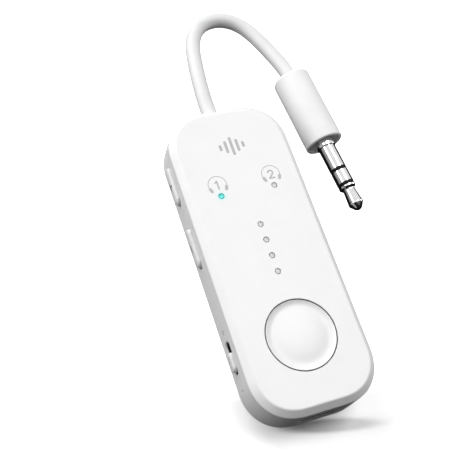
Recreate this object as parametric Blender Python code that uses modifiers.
"""Bluetooth audio receiver with a captive audio cord and 3.5 mm plug.

The unit lies on its back on a flat surface.  X is its width, +Y runs towards
the end that the cord leaves, +Z points out of the face with the big round
button.  The origin is the middle of the rear face.  All lengths in metres.
"""
import math
import bmesh
import bpy
from mathutils import Matrix, Vector

MM = 0.001

# ---------------------------------------------------------------- dimensions
BODY_W = 24.0 * MM            # width
BODY_L = 61.0 * MM            # length
BODY_T = 10.2 * MM            # thickness
CORNER_R = 8.56 * MM          # plan corner
CORNER_N = 2.25               # corner exponent, 2 is a true circle
REAR_ROUND = 2.3 * MM         # rear edge radius
FRONT_BEVEL = 1.2 * MM        # front edge, a flat bevel at 45 degrees
WALL = 1.2 * MM
PARTING_Z = 7.6 * MM
SEAM = 0.1 * MM

MID_Z = 5.1 * MM              # height of the side controls and the socket

BUTTON_Y = -16.8 * MM         # big round button
BUTTON_HOLE_R = 6.63 * MM
BUTTON_R = 6.50 * MM
BUTTON_TRAVEL = 0.3 * MM

LED_Y = (5.06 * MM, 1.87 * MM, -1.32 * MM, -4.51 * MM)   # battery gauge
CHANNEL_X = 5.37 * MM
CHANNEL_Y = 12.18 * MM
PIPE_R = 0.60 * MM
PIPE_HOLE_R = 0.68 * MM

VOLUME_UP_Y = 18.3 * MM
VOLUME_DOWN_Y = 5.2 * MM
KEY_L, KEY_H = 7.9 * MM, 2.4 * MM
KEY_PROUD = 0.60 * MM
KEY_TRAVEL = 0.3 * MM

SLOT_Y, SLOT_L, SLOT_H = -16.5 * MM, 6.1 * MM, 2.6 * MM
KNOB_Y, KNOB_L, KNOB_H = -17.35 * MM, 3.6 * MM, 2.3 * MM
KNOB_PROUD = 0.60 * MM
SLIDE_TRAVEL = 1.7 * MM

BOARD_Z0, BOARD_Z1 = 4.6 * MM, 5.4 * MM
ON_BOARD = BOARD_Z1 + 0.1 * MM
SCREWS = ((7.4 * MM, -23.6 * MM), (7.2 * MM, 19.6 * MM))

USB_W, USB_H, USB_L = 8.94 * MM, 3.26 * MM, 7.3 * MM

GLAND_Z = 4.7 * MM
CORD_R = 1.575 * MM
OVERMOLD_R = 3.92 * MM
OVERMOLD_L = 16.6 * MM
PLUG_AXIS_Z = 3.95 * MM
PLUG_TOP = Vector((20.10 * MM, 37.90 * MM, PLUG_AXIS_Z))   # cord end of the overmold
PLUG_ANGLE = math.radians(5.6)                             # plug axis off -Y, towards +X
CORD_ROUTE = [                                             # centre line, mm
    (0.0, 28.4, 4.70), (0.0, 31.6, 4.70), (0.02, 34.6, 4.69), (0.15, 37.6, 4.58),
    (0.60, 41.2, 4.22), (1.28, 45.2, 3.55), (2.15, 49.3, 2.80), (3.30, 52.3, 2.20),
    (4.85, 54.7, 1.85), (7.00, 56.2, 1.68), (10.30, 56.60, 1.64), (13.70, 55.40, 1.66),
    (16.30, 52.10, 1.85), (17.90, 48.00, 2.35), (19.05, 44.00, 3.05),
    (19.68, 41.0, 3.65), (19.985, 39.1, 3.93), (20.083, 38.08, 3.95),
]

# -------------------------------------------------------------------- set-up
for old in list(bpy.data.objects):
    bpy.data.objects.remove(old, do_unlink=True)

parts = bpy.data.collections.new("bluetooth_audio_receiver")
cutters = bpy.data.collections.new("cutters")
bpy.context.scene.collection.children.link(parts)
bpy.context.scene.collection.children.link(cutters)


def material(name, colour, roughness, metallic=0.0):
    m = bpy.data.materials.new(name)
    m.use_nodes = True
    s = m.node_tree.nodes["Principled BSDF"]
    s.inputs["Base Color"].default_value = (*colour, 1.0)
    s.inputs["Roughness"].default_value = roughness
    s.inputs["Metallic"].default_value = metallic
    m.diffuse_color = (*colour, 1.0)
    return m


WHITE = (0.88, 0.88, 0.88)


def add(name, mesh, is_part=True):
    ob = bpy.data.objects.new(name, mesh)
    (parts if is_part else cutters).objects.link(ob)
    if not is_part:
        ob.hide_render = True
        ob.display_type = "WIRE"
    return ob


def centre_origin(ob):
    """Puts the object's origin at the middle of its own box, in place."""
    vs = [v.co for v in ob.data.vertices]
    mid = Vector([(min(v[i] for v in vs) + max(v[i] for v in vs)) / 2 for i in range(3)])
    ob.data.transform(Matrix.Translation(-mid))
    ob.location = ob.location + mid
    return ob


def paint(ob, colour, roughness, metallic=0.0, sharp=35):
    ob.data.materials.clear()
    ob.data.materials.append(material(ob.name, colour, roughness, metallic))
    ob.data.shade_smooth()
    ob.data.set_sharp_from_angle(angle=math.radians(sharp))
    return ob


# -------------------------------------------------------------- basic shapes
PLANES = {
    "XY": Matrix.Identity(4),
    "YZ": Matrix(((0, 0, 1, 0), (1, 0, 0, 0), (0, 1, 0, 0), (0, 0, 0, 1))),
    "XZ": Matrix(((1, 0, 0, 0), (0, 0, -1, 0), (0, 1, 0, 0), (0, 0, 0, 1))),
}


def corner_box(w, l, r, n=2.0, steps=8, cx=0.0, cy=0.0):
    """Outline of a rectangle whose corners follow |x|^n + |y|^n = r^n."""
    pts = []
    for sx, sy, turn in ((1, 1, 0), (-1, 1, 1), (-1, -1, 0), (1, -1, 1)):
        quarter = []
        for i in range(steps + 1):
            t = math.radians(90) * i / steps
            c, s = max(math.cos(t), 0.0) ** (2 / n), max(math.sin(t), 0.0) ** (2 / n)
            quarter.append((cx + sx * (w / 2 - r + r * c), cy + sy * (l / 2 - r + r * s)))
        pts += quarter[::-1] if turn else quarter
    out = []
    for p in pts:
        if not out or math.dist(p, out[-1]) > 1e-6:
            out.append(p)
    if math.dist(out[0], out[-1]) < 1e-6:
        out.pop()
    return out


def pill(w, h, steps=6, cx=0.0, cy=0.0):
    return corner_box(w, h, min(w, h) / 2, 2.0, steps, cx, cy)


def slab(name, pts, h0, h1, plane="XY", is_part=True):
    """A flat outline extruded from h0 to h1 along the plane's normal."""
    cu = bpy.data.curves.new(name, "CURVE")
    cu.dimensions = "2D"
    cu.fill_mode = "BOTH"
    cu.extrude = (h1 - h0) / 2
    sp = cu.splines.new("POLY")
    sp.points.add(len(pts) - 1)
    for p, (x, y) in zip(sp.points, pts):
        p.co = (x, y, 0, 1)
    sp.use_cyclic_u = True
    tmp = bpy.data.objects.new(name + "_outline", cu)
    cutters.objects.link(tmp)
    bpy.context.view_layer.update()
    ev = tmp.evaluated_get(bpy.context.evaluated_depsgraph_get())
    me = bpy.data.meshes.new_from_object(ev)
    bpy.data.objects.remove(tmp, do_unlink=True)
    bm = bmesh.new()
    bm.from_mesh(me)
    bmesh.ops.remove_doubles(bm, verts=bm.verts, dist=1e-7)
    bmesh.ops.dissolve_limit(bm, angle_limit=math.radians(0.5), verts=bm.verts, edges=bm.edges)
    bmesh.ops.translate(bm, verts=bm.verts, vec=(0, 0, (h0 + h1) / 2))
    bmesh.ops.recalc_face_normals(bm, faces=bm.faces)
    bm.to_mesh(me)
    bm.free()
    me.transform(PLANES[plane])
    me.name = name
    return add(name, me, is_part)


def round_rim(ob, axis, level, width, segments):
    """Rounds the closed edge loop that lies at one level along an axis."""
    bm = bmesh.new()
    bm.from_mesh(ob.data)
    rim = [e for e in bm.edges if all(abs(v.co[axis] - level) < 1e-6 for v in e.verts)
           and e.calc_face_angle(0) > 0.5]
    bmesh.ops.bevel(bm, geom=rim, offset=width, offset_type="OFFSET", segments=segments,
                    profile=0.5, affect="EDGES", clamp_overlap=False)
    bm.to_mesh(ob.data)
    bm.free()
    return ob


def box(name, lo, hi, is_part=True, chamfer=0.0):
    me = bpy.data.meshes.new(name)
    bm = bmesh.new()
    bmesh.ops.create_cube(bm, size=1.0)
    lo, hi = Vector(lo), Vector(hi)
    bmesh.ops.scale(bm, vec=hi - lo, verts=bm.verts)
    bmesh.ops.translate(bm, vec=(lo + hi) / 2, verts=bm.verts)
    if chamfer:
        bmesh.ops.bevel(bm, geom=bm.edges[:], offset=chamfer, segments=1, profile=0.5,
                        affect="EDGES")
    bm.to_mesh(me)
    bm.free()
    return add(name, me, is_part)


def cylinders(name, spots, z0, z1, steps=16, is_part=False):
    """One or more upright cylinders, (x, y, radius) each."""
    me = bpy.data.meshes.new(name)
    bm = bmesh.new()
    for x, y, r in spots:
        bmesh.ops.create_cone(bm, cap_ends=True, segments=steps, radius1=r, radius2=r,
                              depth=z1 - z0, matrix=Matrix.Translation((x, y, (z0 + z1) / 2)))
    bm.to_mesh(me)
    bm.free()
    return add(name, me, is_part)


def turned(name, profile, steps, frame=Matrix.Identity(4), closed=False, is_part=True):
    """A lathe profile of (radius, height), read down its outer side, spun round
    the frame's own Z axis."""
    me = bpy.data.meshes.new(name)
    bm = bmesh.new()
    vs = [bm.verts.new((r, 0, h)) for r, h in profile]
    for a, b in zip(vs, vs[1:]):
        bm.edges.new((a, b))
    if closed:
        bm.edges.new((vs[-1], vs[0]))
    bm.to_mesh(me)
    bm.free()
    ob = add(name, me, is_part)
    sc = ob.modifiers.new("Lathe", "SCREW")
    sc.axis = "Z"
    sc.steps = sc.render_steps = steps
    sc.use_merge_vertices = True
    sc.merge_threshold = 0.000002
    ob.matrix_world = frame
    return ob


def baked(ob):
    """Applies an object's modifiers and its place, and keeps its name."""
    bpy.context.view_layer.update()
    name = ob.name
    me = bpy.data.meshes.new_from_object(
        ob.evaluated_get(bpy.context.evaluated_depsgraph_get()))
    me.transform(ob.matrix_world)
    is_part = ob.name in parts.objects
    bpy.data.objects.remove(ob, do_unlink=True)
    me.name = name
    return add(name, me, is_part)


def boolean(ob, other, how):
    other.hide_render = True
    other.display_type = "WIRE"
    m = ob.modifiers.new(how.title(), "BOOLEAN")
    m.operation = how
    m.solver = "EXACT"
    m.object = other
    return ob


def cut(ob, *others):
    for o in others:
        boolean(ob, o, "DIFFERENCE")
    return ob


def join(ob, *others):
    for o in others:
        boolean(ob, o, "UNION")
    return ob


def smooth_route(points, count):
    """Evenly spaced points on a Catmull-Rom curve through the route."""
    p = [Vector(q) * MM for q in points]
    p = [p[0] * 2 - p[1]] + p + [p[-1] * 2 - p[-2]]
    fine = []
    for i in range(1, len(p) - 2):
        a, b, c, d = p[i - 1], p[i], p[i + 1], p[i + 2]
        for k in range(24):
            t = k / 24
            fine.append(0.5 * (2 * b + (c - a) * t + (2 * a - 5 * b + 4 * c - d) * t * t
                               + (3 * b - a - 3 * c + d) * t ** 3))
    fine.append(p[-2])
    run = [0.0]
    for a, b in zip(fine, fine[1:]):
        run.append(run[-1] + (b - a).length)
    out, j = [], 0
    for k in range(count):
        s = run[-1] * k / (count - 1)
        while j < len(run) - 2 and run[j + 1] < s:
            j += 1
        f = (s - run[j]) / max(run[j + 1] - run[j], 1e-12)
        out.append(fine[j].lerp(fine[j + 1], min(max(f, 0.0), 1.0)))
    return out


def tube(name, points, radius, resolution=2):
    cu = bpy.data.curves.new(name, "CURVE")
    cu.dimensions = "3D"
    cu.bevel_depth = radius
    cu.bevel_resolution = resolution
    cu.use_fill_caps = True
    sp = cu.splines.new("POLY")
    sp.points.add(len(points) - 1)
    for q, p in zip(sp.points, points):
        q.co = (*p, 1)
    ob = bpy.data.objects.new(name, cu)
    parts.objects.link(ob)
    return ob


def paint_curve(ob, colour, roughness):
    ob.data.materials.append(material(ob.name, colour, roughness))
    return ob


def inset(d, steps=10):
    return corner_box(BODY_W - 2 * d, BODY_L - 2 * d, CORNER_R - d, CORNER_N, steps)


# ------------------------------------------------------------------- casings
rear = slab("rear_shell", inset(0), 0, PARTING_Z - SEAM / 2)
round_rim(rear, 2, 0, REAR_ROUND, 4)
hollow = slab("rear_hollow", inset(WALL), WALL, 9 * MM, is_part=False)
round_rim(hollow, 2, WALL, 1.2 * MM, 2)
bosses = cylinders("screw_bosses", [(x, y, 1.5 * MM) for x, y in SCREWS],
                   0.9 * MM, BOARD_Z0 - 0.15 * MM, 16)
boss_holes = cylinders("boss_holes", [(x, y, 0.70 * MM) for x, y in SCREWS],
                       1.6 * MM, 6 * MM, 12)
key_holes = [slab(f"key_hole_{i}", pill(KEY_L + 0.3 * MM, KEY_H + 0.3 * MM, 5, y, MID_Z),
                  -14 * MM, -9 * MM, "YZ", False)
             for i, y in enumerate((VOLUME_UP_Y, VOLUME_DOWN_Y))]
slot = slab("slide_slot", corner_box(SLOT_L, SLOT_H, 0.8 * MM, 2, 4, SLOT_Y, MID_Z),
            -14 * MM, -9 * MM, "YZ", False)
usb_hole = slab("usb_hole", pill(USB_W + 0.3 * MM, USB_H + 0.3 * MM, 6, 0, MID_Z),
                28 * MM, 32 * MM, "XZ", False)
gland_hole = turned("gland_hole", [(0, 2 * MM), (2.1 * MM, 2 * MM), (2.1 * MM, -2 * MM),
                                   (0, -2 * MM)], 20,
                    Matrix.Translation((0, 29.9 * MM, GLAND_Z)) @ Matrix.Rotation(
                        math.radians(-90), 4, "X"), is_part=False)
gland_hole = baked(gland_hole)
cut(rear, hollow)
join(rear, bosses)
cut(rear, boss_holes, *key_holes, slot, usb_hole, gland_hole)
paint(rear, WHITE, 0.45)

front = slab("front_cover", inset(0), PARTING_Z + SEAM / 2, BODY_T)
round_rim(front, 2, BODY_T, FRONT_BEVEL, 1)
lip = slab("cover_lip", inset(WALL + 0.15 * MM), 6.75 * MM, 8.2 * MM, is_part=False)
cover_hollow = slab("cover_hollow", inset(1.9 * MM), 5 * MM, 9 * MM, is_part=False)
round_rim(cover_hollow, 2, 9 * MM, 0.5 * MM, 1)
usb_relief = box("usb_relief", (-5.2 * MM, -29.35 * MM, 6 * MM),
                 (5.2 * MM, -28 * MM, 7.8 * MM), False)
gland_relief = box("gland_relief", (-3.6 * MM, 28 * MM, 6 * MM),
                   (3.6 * MM, 29.35 * MM, 7.8 * MM), False)
button_hole = cylinders("button_hole", [(0, BUTTON_Y, BUTTON_HOLE_R)], 8.5 * MM, 11 * MM, 64)
led_holes = cylinders("led_holes", [(0, y, PIPE_HOLE_R) for y in LED_Y]
                      + [(s * CHANNEL_X, CHANNEL_Y, PIPE_HOLE_R) for s in (-1, 1)],
                      8.5 * MM, 11 * MM, 14)
join(front, lip)
cut(front, cover_hollow, usb_relief, gland_relief, button_hole, led_holes)
paint(front, WHITE, 0.42)

# --------------------------------------------------------- big round button
T = BODY_T
cap = [(0, T + 0.02 * MM)]
for r, h in ((1.3, 0.00), (2.6, -0.07), (3.7, -0.19), (4.5, -0.33), (5.1, -0.40),
             (5.6, -0.36), (6.0, -0.22), (6.3, -0.06)):
    cap.append((r * MM, T + h * MM))
cap += [(BUTTON_R - 0.05 * MM, T), (BUTTON_R, T - 0.05 * MM), (BUTTON_R, 8.85 * MM),
        (7.3 * MM, 8.85 * MM), (7.3 * MM, 8.35 * MM), (1.6 * MM, 8.35 * MM),
        (1.6 * MM, 7.4 * MM), (0, 7.4 * MM)]
mid = 8.8 * MM
main_button = turned("main_button", [(r, h - mid) for r, h in cap], 48,
                     Matrix.Translation((0, BUTTON_Y, mid)))
paint(main_button, WHITE, 0.40)

switch = box("main_switch_body", (-2.3 * MM, BUTTON_Y - 2.3 * MM, ON_BOARD),
             (2.3 * MM, BUTTON_Y + 2.3 * MM, 6.8 * MM), chamfer=0.1 * MM)
cut(switch, cylinders("main_switch_well", [(0, BUTTON_Y, 1.3 * MM)], 5.9 * MM, 7.5 * MM, 16))
paint(switch, (0.62, 0.62, 0.64), 0.35, 1.0)
plunger = cylinders("main_switch_plunger", [(0, 0, 1.15 * MM)], -0.475 * MM, 0.475 * MM, 16,
                    is_part=True)
plunger.location = (0, BUTTON_Y, 6.825 * MM)
paint(plunger, (0.02, 0.02, 0.02), 0.5)

# ------------------------------------------------------------- light pipes
PIPE = [(0, T - 0.01 * MM), (PIPE_R, T - 0.01 * MM), (PIPE_R, 8.85 * MM), (1.05 * MM, 8.85 * MM),
        (1.05 * MM, 8.45 * MM), (PIPE_R, 8.45 * MM), (PIPE_R, 6.6 * MM), (0, 6.6 * MM)]
led_spots = [("battery_light_pipe_%d" % (i + 1), "battery_led_%d" % (i + 1), 0.0, y)
             for i, y in enumerate(LED_Y)]
led_spots += [("channel_light_pipe_1", "channel_led_1", -CHANNEL_X, CHANNEL_Y),
              ("channel_light_pipe_2", "channel_led_2", CHANNEL_X, CHANNEL_Y)]
for pipe_name, led_name, x, y in led_spots:
    pipe = turned(pipe_name, PIPE, 14, Matrix.Translation((x, y, 0)))
    lit = pipe_name == "channel_light_pipe_1"
    paint(pipe, (0.10, 0.70, 0.68) if lit else (0.55, 0.55, 0.55), 0.3)
    led = box(led_name, (x - 0.8 * MM, y - 0.4 * MM, ON_BOARD),
              (x + 0.8 * MM, y + 0.4 * MM, 6.1 * MM))
    paint(led, (0.85, 0.85, 0.78), 0.4)

baffle = box("light_baffle", (-1.5 * MM, -6.4 * MM, ON_BOARD), (1.5 * MM, 11.5 * MM, 8.3 * MM))
baffle_arm = box("baffle_arm", (-6.9 * MM, 10.5 * MM, ON_BOARD), (6.9 * MM, 13.4 * MM, 8.3 * MM),
                 False)
baffle_wells = cylinders("baffle_wells", [(x, y, 0.97 * MM) for _, _, x, y in led_spots],
                         5 * MM, 9 * MM, 12)
join(baffle, baffle_arm)
cut(baffle, baffle_wells)
paint(baffle, (0.03, 0.03, 0.03), 0.8)

# ------------------------------------------------------------ circuit board
board = slab("main_board", corner_box(20.0 * MM, 52.0 * MM, 7.2 * MM, 2, 6, 0.3 * MM, -2.6 * MM),
             BOARD_Z0, BOARD_Z1)
cut(board,
    box("usb_notch", (-4.75 * MM, -30 * MM, 4 * MM), (4.75 * MM, -22.9 * MM, 6 * MM), False),
    box("volume_up_notch", (-11 * MM, VOLUME_UP_Y - 2.45 * MM, 4 * MM),
        (-7.35 * MM, VOLUME_UP_Y + 2.45 * MM, 6 * MM), False),
    box("volume_down_notch", (-11 * MM, VOLUME_DOWN_Y - 2.45 * MM, 4 * MM),
        (-7.35 * MM, VOLUME_DOWN_Y + 2.45 * MM, 6 * MM), False),
    box("slide_notch", (-11 * MM, SLOT_Y - 3.85 * MM, 4 * MM),
        (-7.15 * MM, SLOT_Y + 3.85 * MM, 6 * MM), False),
    cylinders("board_holes", [(x, y, 0.75 * MM) for x, y in SCREWS], 4 * MM, 6 * MM, 12))
paint(board, (0.02, 0.16, 0.07), 0.45)

for i, (x, y) in enumerate(SCREWS):
    screw = turned("board_screw_%d" % (i + 1),
                   [(0, 6.20 * MM), (1.0 * MM, 6.20 * MM), (1.35 * MM, 5.95 * MM),
                    (1.35 * MM, ON_BOARD), (0.58 * MM, ON_BOARD), (0.58 * MM, 2.4 * MM),
                    (0, 1.9 * MM)], 14, Matrix.Translation((x, y, 0)))
    screw = baked(screw)
    cut(screw,
        box("drive_a_%d" % i, (x - 0.75 * MM, y - 0.16 * MM, 5.85 * MM),
            (x + 0.75 * MM, y + 0.16 * MM, 7 * MM), False),
        box("drive_b_%d" % i, (x - 0.16 * MM, y - 0.75 * MM, 5.8 * MM),
            (x + 0.16 * MM, y + 0.75 * MM, 7 * MM), False))
    paint(screw, (0.55, 0.55, 0.57), 0.35, 1.0)

can = box("shield_can", (2.6 * MM, -7.2 * MM, ON_BOARD), (9.4 * MM, 3.8 * MM, 7.1 * MM),
          chamfer=0.12 * MM)
cut(can, box("can_hollow", (2.85 * MM, -6.95 * MM, 5 * MM), (9.15 * MM, 3.55 * MM, 6.85 * MM),
             False))
paint(can, (0.70, 0.70, 0.72), 0.35, 1.0)

CHIPS = (
    ("bluetooth_chip", (3.6, -5.7, 0), (8.6, -0.7, 0.8), (0.02, 0.02, 0.02)),
    ("crystal", (5.1, 0.6, 0), (7.1, 2.2, 0.6), (0.60, 0.60, 0.58)),
    ("audio_chip", (-6.9, -4.0, 0), (-2.9, 0.0, 0.8), (0.02, 0.02, 0.02)),
    ("charging_chip", (-6.3, -10.4, 0), (-3.3, -7.4, 0.7), (0.02, 0.02, 0.02)),
    ("power_inductor", (4.5, -11.7, 0), (7.5, -8.7, 1.4), (0.09, 0.09, 0.10)),
    ("antenna", (2.4, 15.6, 0), (8.4, 17.6, 0.9), (0.75, 0.75, 0.70)),
)
for name, lo, hi, colour in CHIPS:
    chip = box(name, (lo[0] * MM, lo[1] * MM, ON_BOARD),
               (hi[0] * MM, hi[1] * MM, ON_BOARD + hi[2] * MM), chamfer=0.08 * MM)
    paint(chip, colour, 0.5)

# ------------------------------------------------------------------ battery
cell = box("battery_cell", (-7.2 * MM, -20.2 * MM, 1.55 * MM), (9.6 * MM, 13.6 * MM, 4.35 * MM),
           chamfer=0.4 * MM)
paint(cell, (0.62, 0.63, 0.66), 0.35)
tape = box("battery_tape", (-5.5 * MM, -17 * MM, 1.25 * MM), (7.9 * MM, 10.5 * MM, 1.45 * MM))
paint(tape, (0.05, 0.05, 0.05), 0.9)
guard = box("battery_protection_board", (-2 * MM, 13.9 * MM, 1.6 * MM),
            (6 * MM, 16.4 * MM, 2.7 * MM))
paint(guard, (0.03, 0.15, 0.06), 0.5)
for name, x, colour in (("battery_lead_red", 3.4, (0.6, 0.03, 0.03)),
                        ("battery_lead_black", 1.2, (0.02, 0.02, 0.02))):
    lead = tube(name, smooth_route([(x, 16.6, 2.15), (x, 17.8, 2.2), (x, 19.0, 2.8),
                                    (x, 19.4, 3.6), (x, 19.5, 4.3)], 9), 0.38 * MM)
    paint_curve(lead, colour, 0.5)

# --------------------------------------------------------------- USB socket
usb = slab("usb_c_shell", pill(USB_W, USB_H, 6, 0, MID_Z), BODY_L / 2 - USB_L - 0.05 * MM,
           BODY_L / 2 - 0.05 * MM, "XZ")
cut(usb, slab("usb_bore", pill(USB_W - 0.6 * MM, USB_H - 0.6 * MM, 6, 0, MID_Z), 20 * MM, 32 * MM,
              "XZ", False))
paint(usb, (0.66, 0.66, 0.68), 0.3, 1.0)
tongue = slab("usb_c_tongue", pill(USB_W - 0.9 * MM, USB_H - 0.9 * MM, 6, 0, MID_Z),
              23.4 * MM, 25.2 * MM, "XZ")
join(tongue, box("tongue_blade", (-3.35 * MM, -29.6 * MM, MID_Z - 0.35 * MM),
                 (3.35 * MM, -24.5 * MM, MID_Z + 0.35 * MM), False))
paint(tongue, (0.02, 0.02, 0.02), 0.45)

# ------------------------------------------------------------ volume keys
for name, y in (("volume_up", VOLUME_UP_Y), ("volume_down", VOLUME_DOWN_Y)):
    key = slab(name + "_button", pill(KEY_L, KEY_H, 6, y, MID_Z),
               -BODY_W / 2 - KEY_PROUD, -10.4 * MM, "YZ")
    round_rim(key, 0, -BODY_W / 2 - KEY_PROUD, 0.45 * MM, 3)
    join(key, slab(name + "_flange", pill(KEY_L + 1.2 * MM, KEY_H + 0.6 * MM, 5, y, MID_Z),
                   -10.65 * MM, -10.2 * MM, "YZ", False))
    key = centre_origin(baked(key))
    paint(key, WHITE, 0.42)
    body = box(name + "_switch", (-9.7 * MM, y - 2.2 * MM, MID_Z - 0.9 * MM),
               (-7.6 * MM, y + 2.2 * MM, MID_Z + 0.9 * MM), chamfer=0.1 * MM)
    cut(body, slab(name + "_well", pill(1.7 * MM, 1.1 * MM, 3, y, MID_Z), -10.5 * MM, -8.6 * MM,
                   "YZ", False))
    paint(body, (0.60, 0.60, 0.62), 0.35, 1.0)
    push = slab(name + "_plunger", pill(1.4 * MM, 0.8 * MM, 3, y, MID_Z),
                -10.1 * MM, -9.1 * MM, "YZ")
    centre_origin(push)
    paint(push, (0.02, 0.02, 0.02), 0.5)

# ------------------------------------------------------------ slide switch
knob = slab("power_slider", corner_box(KNOB_L, KNOB_H, 0.75 * MM, 2, 5, KNOB_Y, MID_Z),
            -BODY_W / 2 - KNOB_PROUD, -10.4 * MM, "YZ")
round_rim(knob, 0, -BODY_W / 2 - KNOB_PROUD, 0.35 * MM, 2)
join(knob, slab("slider_flange", corner_box(5.4 * MM, 3.2 * MM, 0.6 * MM, 2, 2, KNOB_Y, MID_Z),
                -10.65 * MM, -10.2 * MM, "YZ", False))
knob = centre_origin(baked(knob))
paint(knob, WHITE, 0.42)
frame_box = box("power_switch_body", (-9.7 * MM, SLOT_Y - 3.6 * MM, MID_Z - 1.1 * MM),
                (-7.4 * MM, SLOT_Y + 3.6 * MM, MID_Z + 1.1 * MM), chamfer=0.1 * MM)
cut(frame_box, box("slider_track", (-10.5 * MM, SLOT_Y - 2.6 * MM, MID_Z - 0.6 * MM),
                   (-8.2 * MM, SLOT_Y + 2.6 * MM, MID_Z + 0.6 * MM), False))
paint(frame_box, (0.60, 0.60, 0.62), 0.35, 1.0)
actuator = box("power_switch_actuator", (-10.08 * MM, KNOB_Y - 1.5 * MM, MID_Z - 0.45 * MM),
               (-8.4 * MM, KNOB_Y + 1.5 * MM, MID_Z + 0.45 * MM))
centre_origin(actuator)
paint(actuator, (0.03, 0.03, 0.03), 0.5)

# --------------------------------------------------------- cord and its exit
along_y = Matrix.Translation((0, 0, GLAND_Z)) @ Matrix.Rotation(math.radians(-90), 4, "X")
gland = turned("cord_gland",
               [(r * MM, a * MM) for r, a in
                ((1.72, 31.45), (2.25, 31.45), (2.40, 31.30), (2.40, 30.62), (1.95, 30.62),
                 (1.95, 29.12), (2.80, 29.12), (2.80, 28.0), (1.72, 28.0))],
               24, along_y, closed=True)
paint(gland, WHITE, 0.5)

cord = tube("audio_cord", smooth_route(CORD_ROUTE, 46), CORD_R, 2)
paint_curve(cord, (0.90, 0.90, 0.90), 0.5)

WIRES = (("audio_wire_left", -1, (0.75, 0.75, 0.72)), ("audio_wire_right", 1, (0.6, 0.03, 0.03)),
         ("audio_wire_ground", 0, (0.55, 0.30, 0.12)))
for name, side, colour in WIRES:
    wire = tube(name, smooth_route([(0.85 * side, 27.7, 4.7), (1.2 * side, 26.4, 4.95),
                                    (1.9 * side, 24.9, 5.75), (2.4 * side, 23.6, 6.05),
                                    (2.6 * side, 22.3, 5.95)], 9), 0.32 * MM)
    paint_curve(wire, colour, 0.5)

# ------------------------------------------------------------- 3.5 mm plug
# The frame's Z axis runs from the tip back to the cord.
plug_frame = Matrix.Translation(PLUG_TOP) @ Matrix.Rotation(PLUG_ANGLE, 4, "Z") @ Matrix.Rotation(
    math.radians(-90), 4, "X")
R = OVERMOLD_R
overmold = turned("plug_overmold",
                  [(0, 0), (R - 0.75 * MM, 0), (R - 0.35 * MM, -0.10 * MM), (R - 0.10 * MM, -0.35 * MM),
                   (R, -0.80 * MM), (R, -OVERMOLD_L + 0.45 * MM),
                   (R - 0.12 * MM, -OVERMOLD_L + 0.14 * MM), (R - 0.42 * MM, -OVERMOLD_L),
                   (0, -OVERMOLD_L)], 32, plug_frame)
paint(overmold, WHITE, 0.45)

S0 = -OVERMOLD_L - 0.08 * MM          # where the metal starts
PR = 1.75 * MM                        # 3.5 mm plug
G = 0.04 * MM                         # half the gap between plug pieces
METAL = (0.80, 0.80, 0.82)


def plug_piece(name, rows, colour, rough, metal):
    ob = turned(name, [(r, S0 - a) for r, a in rows], 24, plug_frame)
    return paint(ob, colour, rough, metal)


plug_piece("plug_sleeve", [(0, 0), (2.0 * MM, 0), (2.0 * MM, 0.85 * MM), (1.88 * MM, 1.0 * MM),
                           (PR, 1.0 * MM), (PR, 6.15 * MM - G), (0, 6.15 * MM - G)],
           METAL, 0.12, 1.0)
plug_piece("plug_insulator_rear", [(0, 6.15 * MM + G), (PR, 6.15 * MM + G),
                                   (PR, 6.75 * MM - G), (0, 6.75 * MM - G)],
           (0.01, 0.01, 0.01), 0.4, 0.0)
plug_piece("plug_ring", [(0, 6.75 * MM + G), (PR, 6.75 * MM + G), (PR, 9.55 * MM - G),
                         (0, 9.55 * MM - G)], METAL, 0.12, 1.0)
plug_piece("plug_insulator_front", [(0, 9.55 * MM + G), (PR, 9.55 * MM + G),
                                    (PR, 10.15 * MM - G), (0, 10.15 * MM - G)],
           (0.01, 0.01, 0.01), 0.4, 0.0)
plug_piece("plug_tip", [(0, 10.15 * MM + G), (PR, 10.15 * MM + G), (PR, 10.65 * MM),
                        (1.18 * MM, 10.95 * MM), (1.18 * MM, 11.25 * MM), (1.35 * MM, 12.2 * MM),
                        (1.62 * MM, 14.1 * MM), (1.60 * MM, 14.35 * MM), (0.75 * MM, 15.45 * MM),
                        (0.35 * MM, 15.68 * MM), (0, 15.7 * MM)], METAL, 0.12, 1.0)
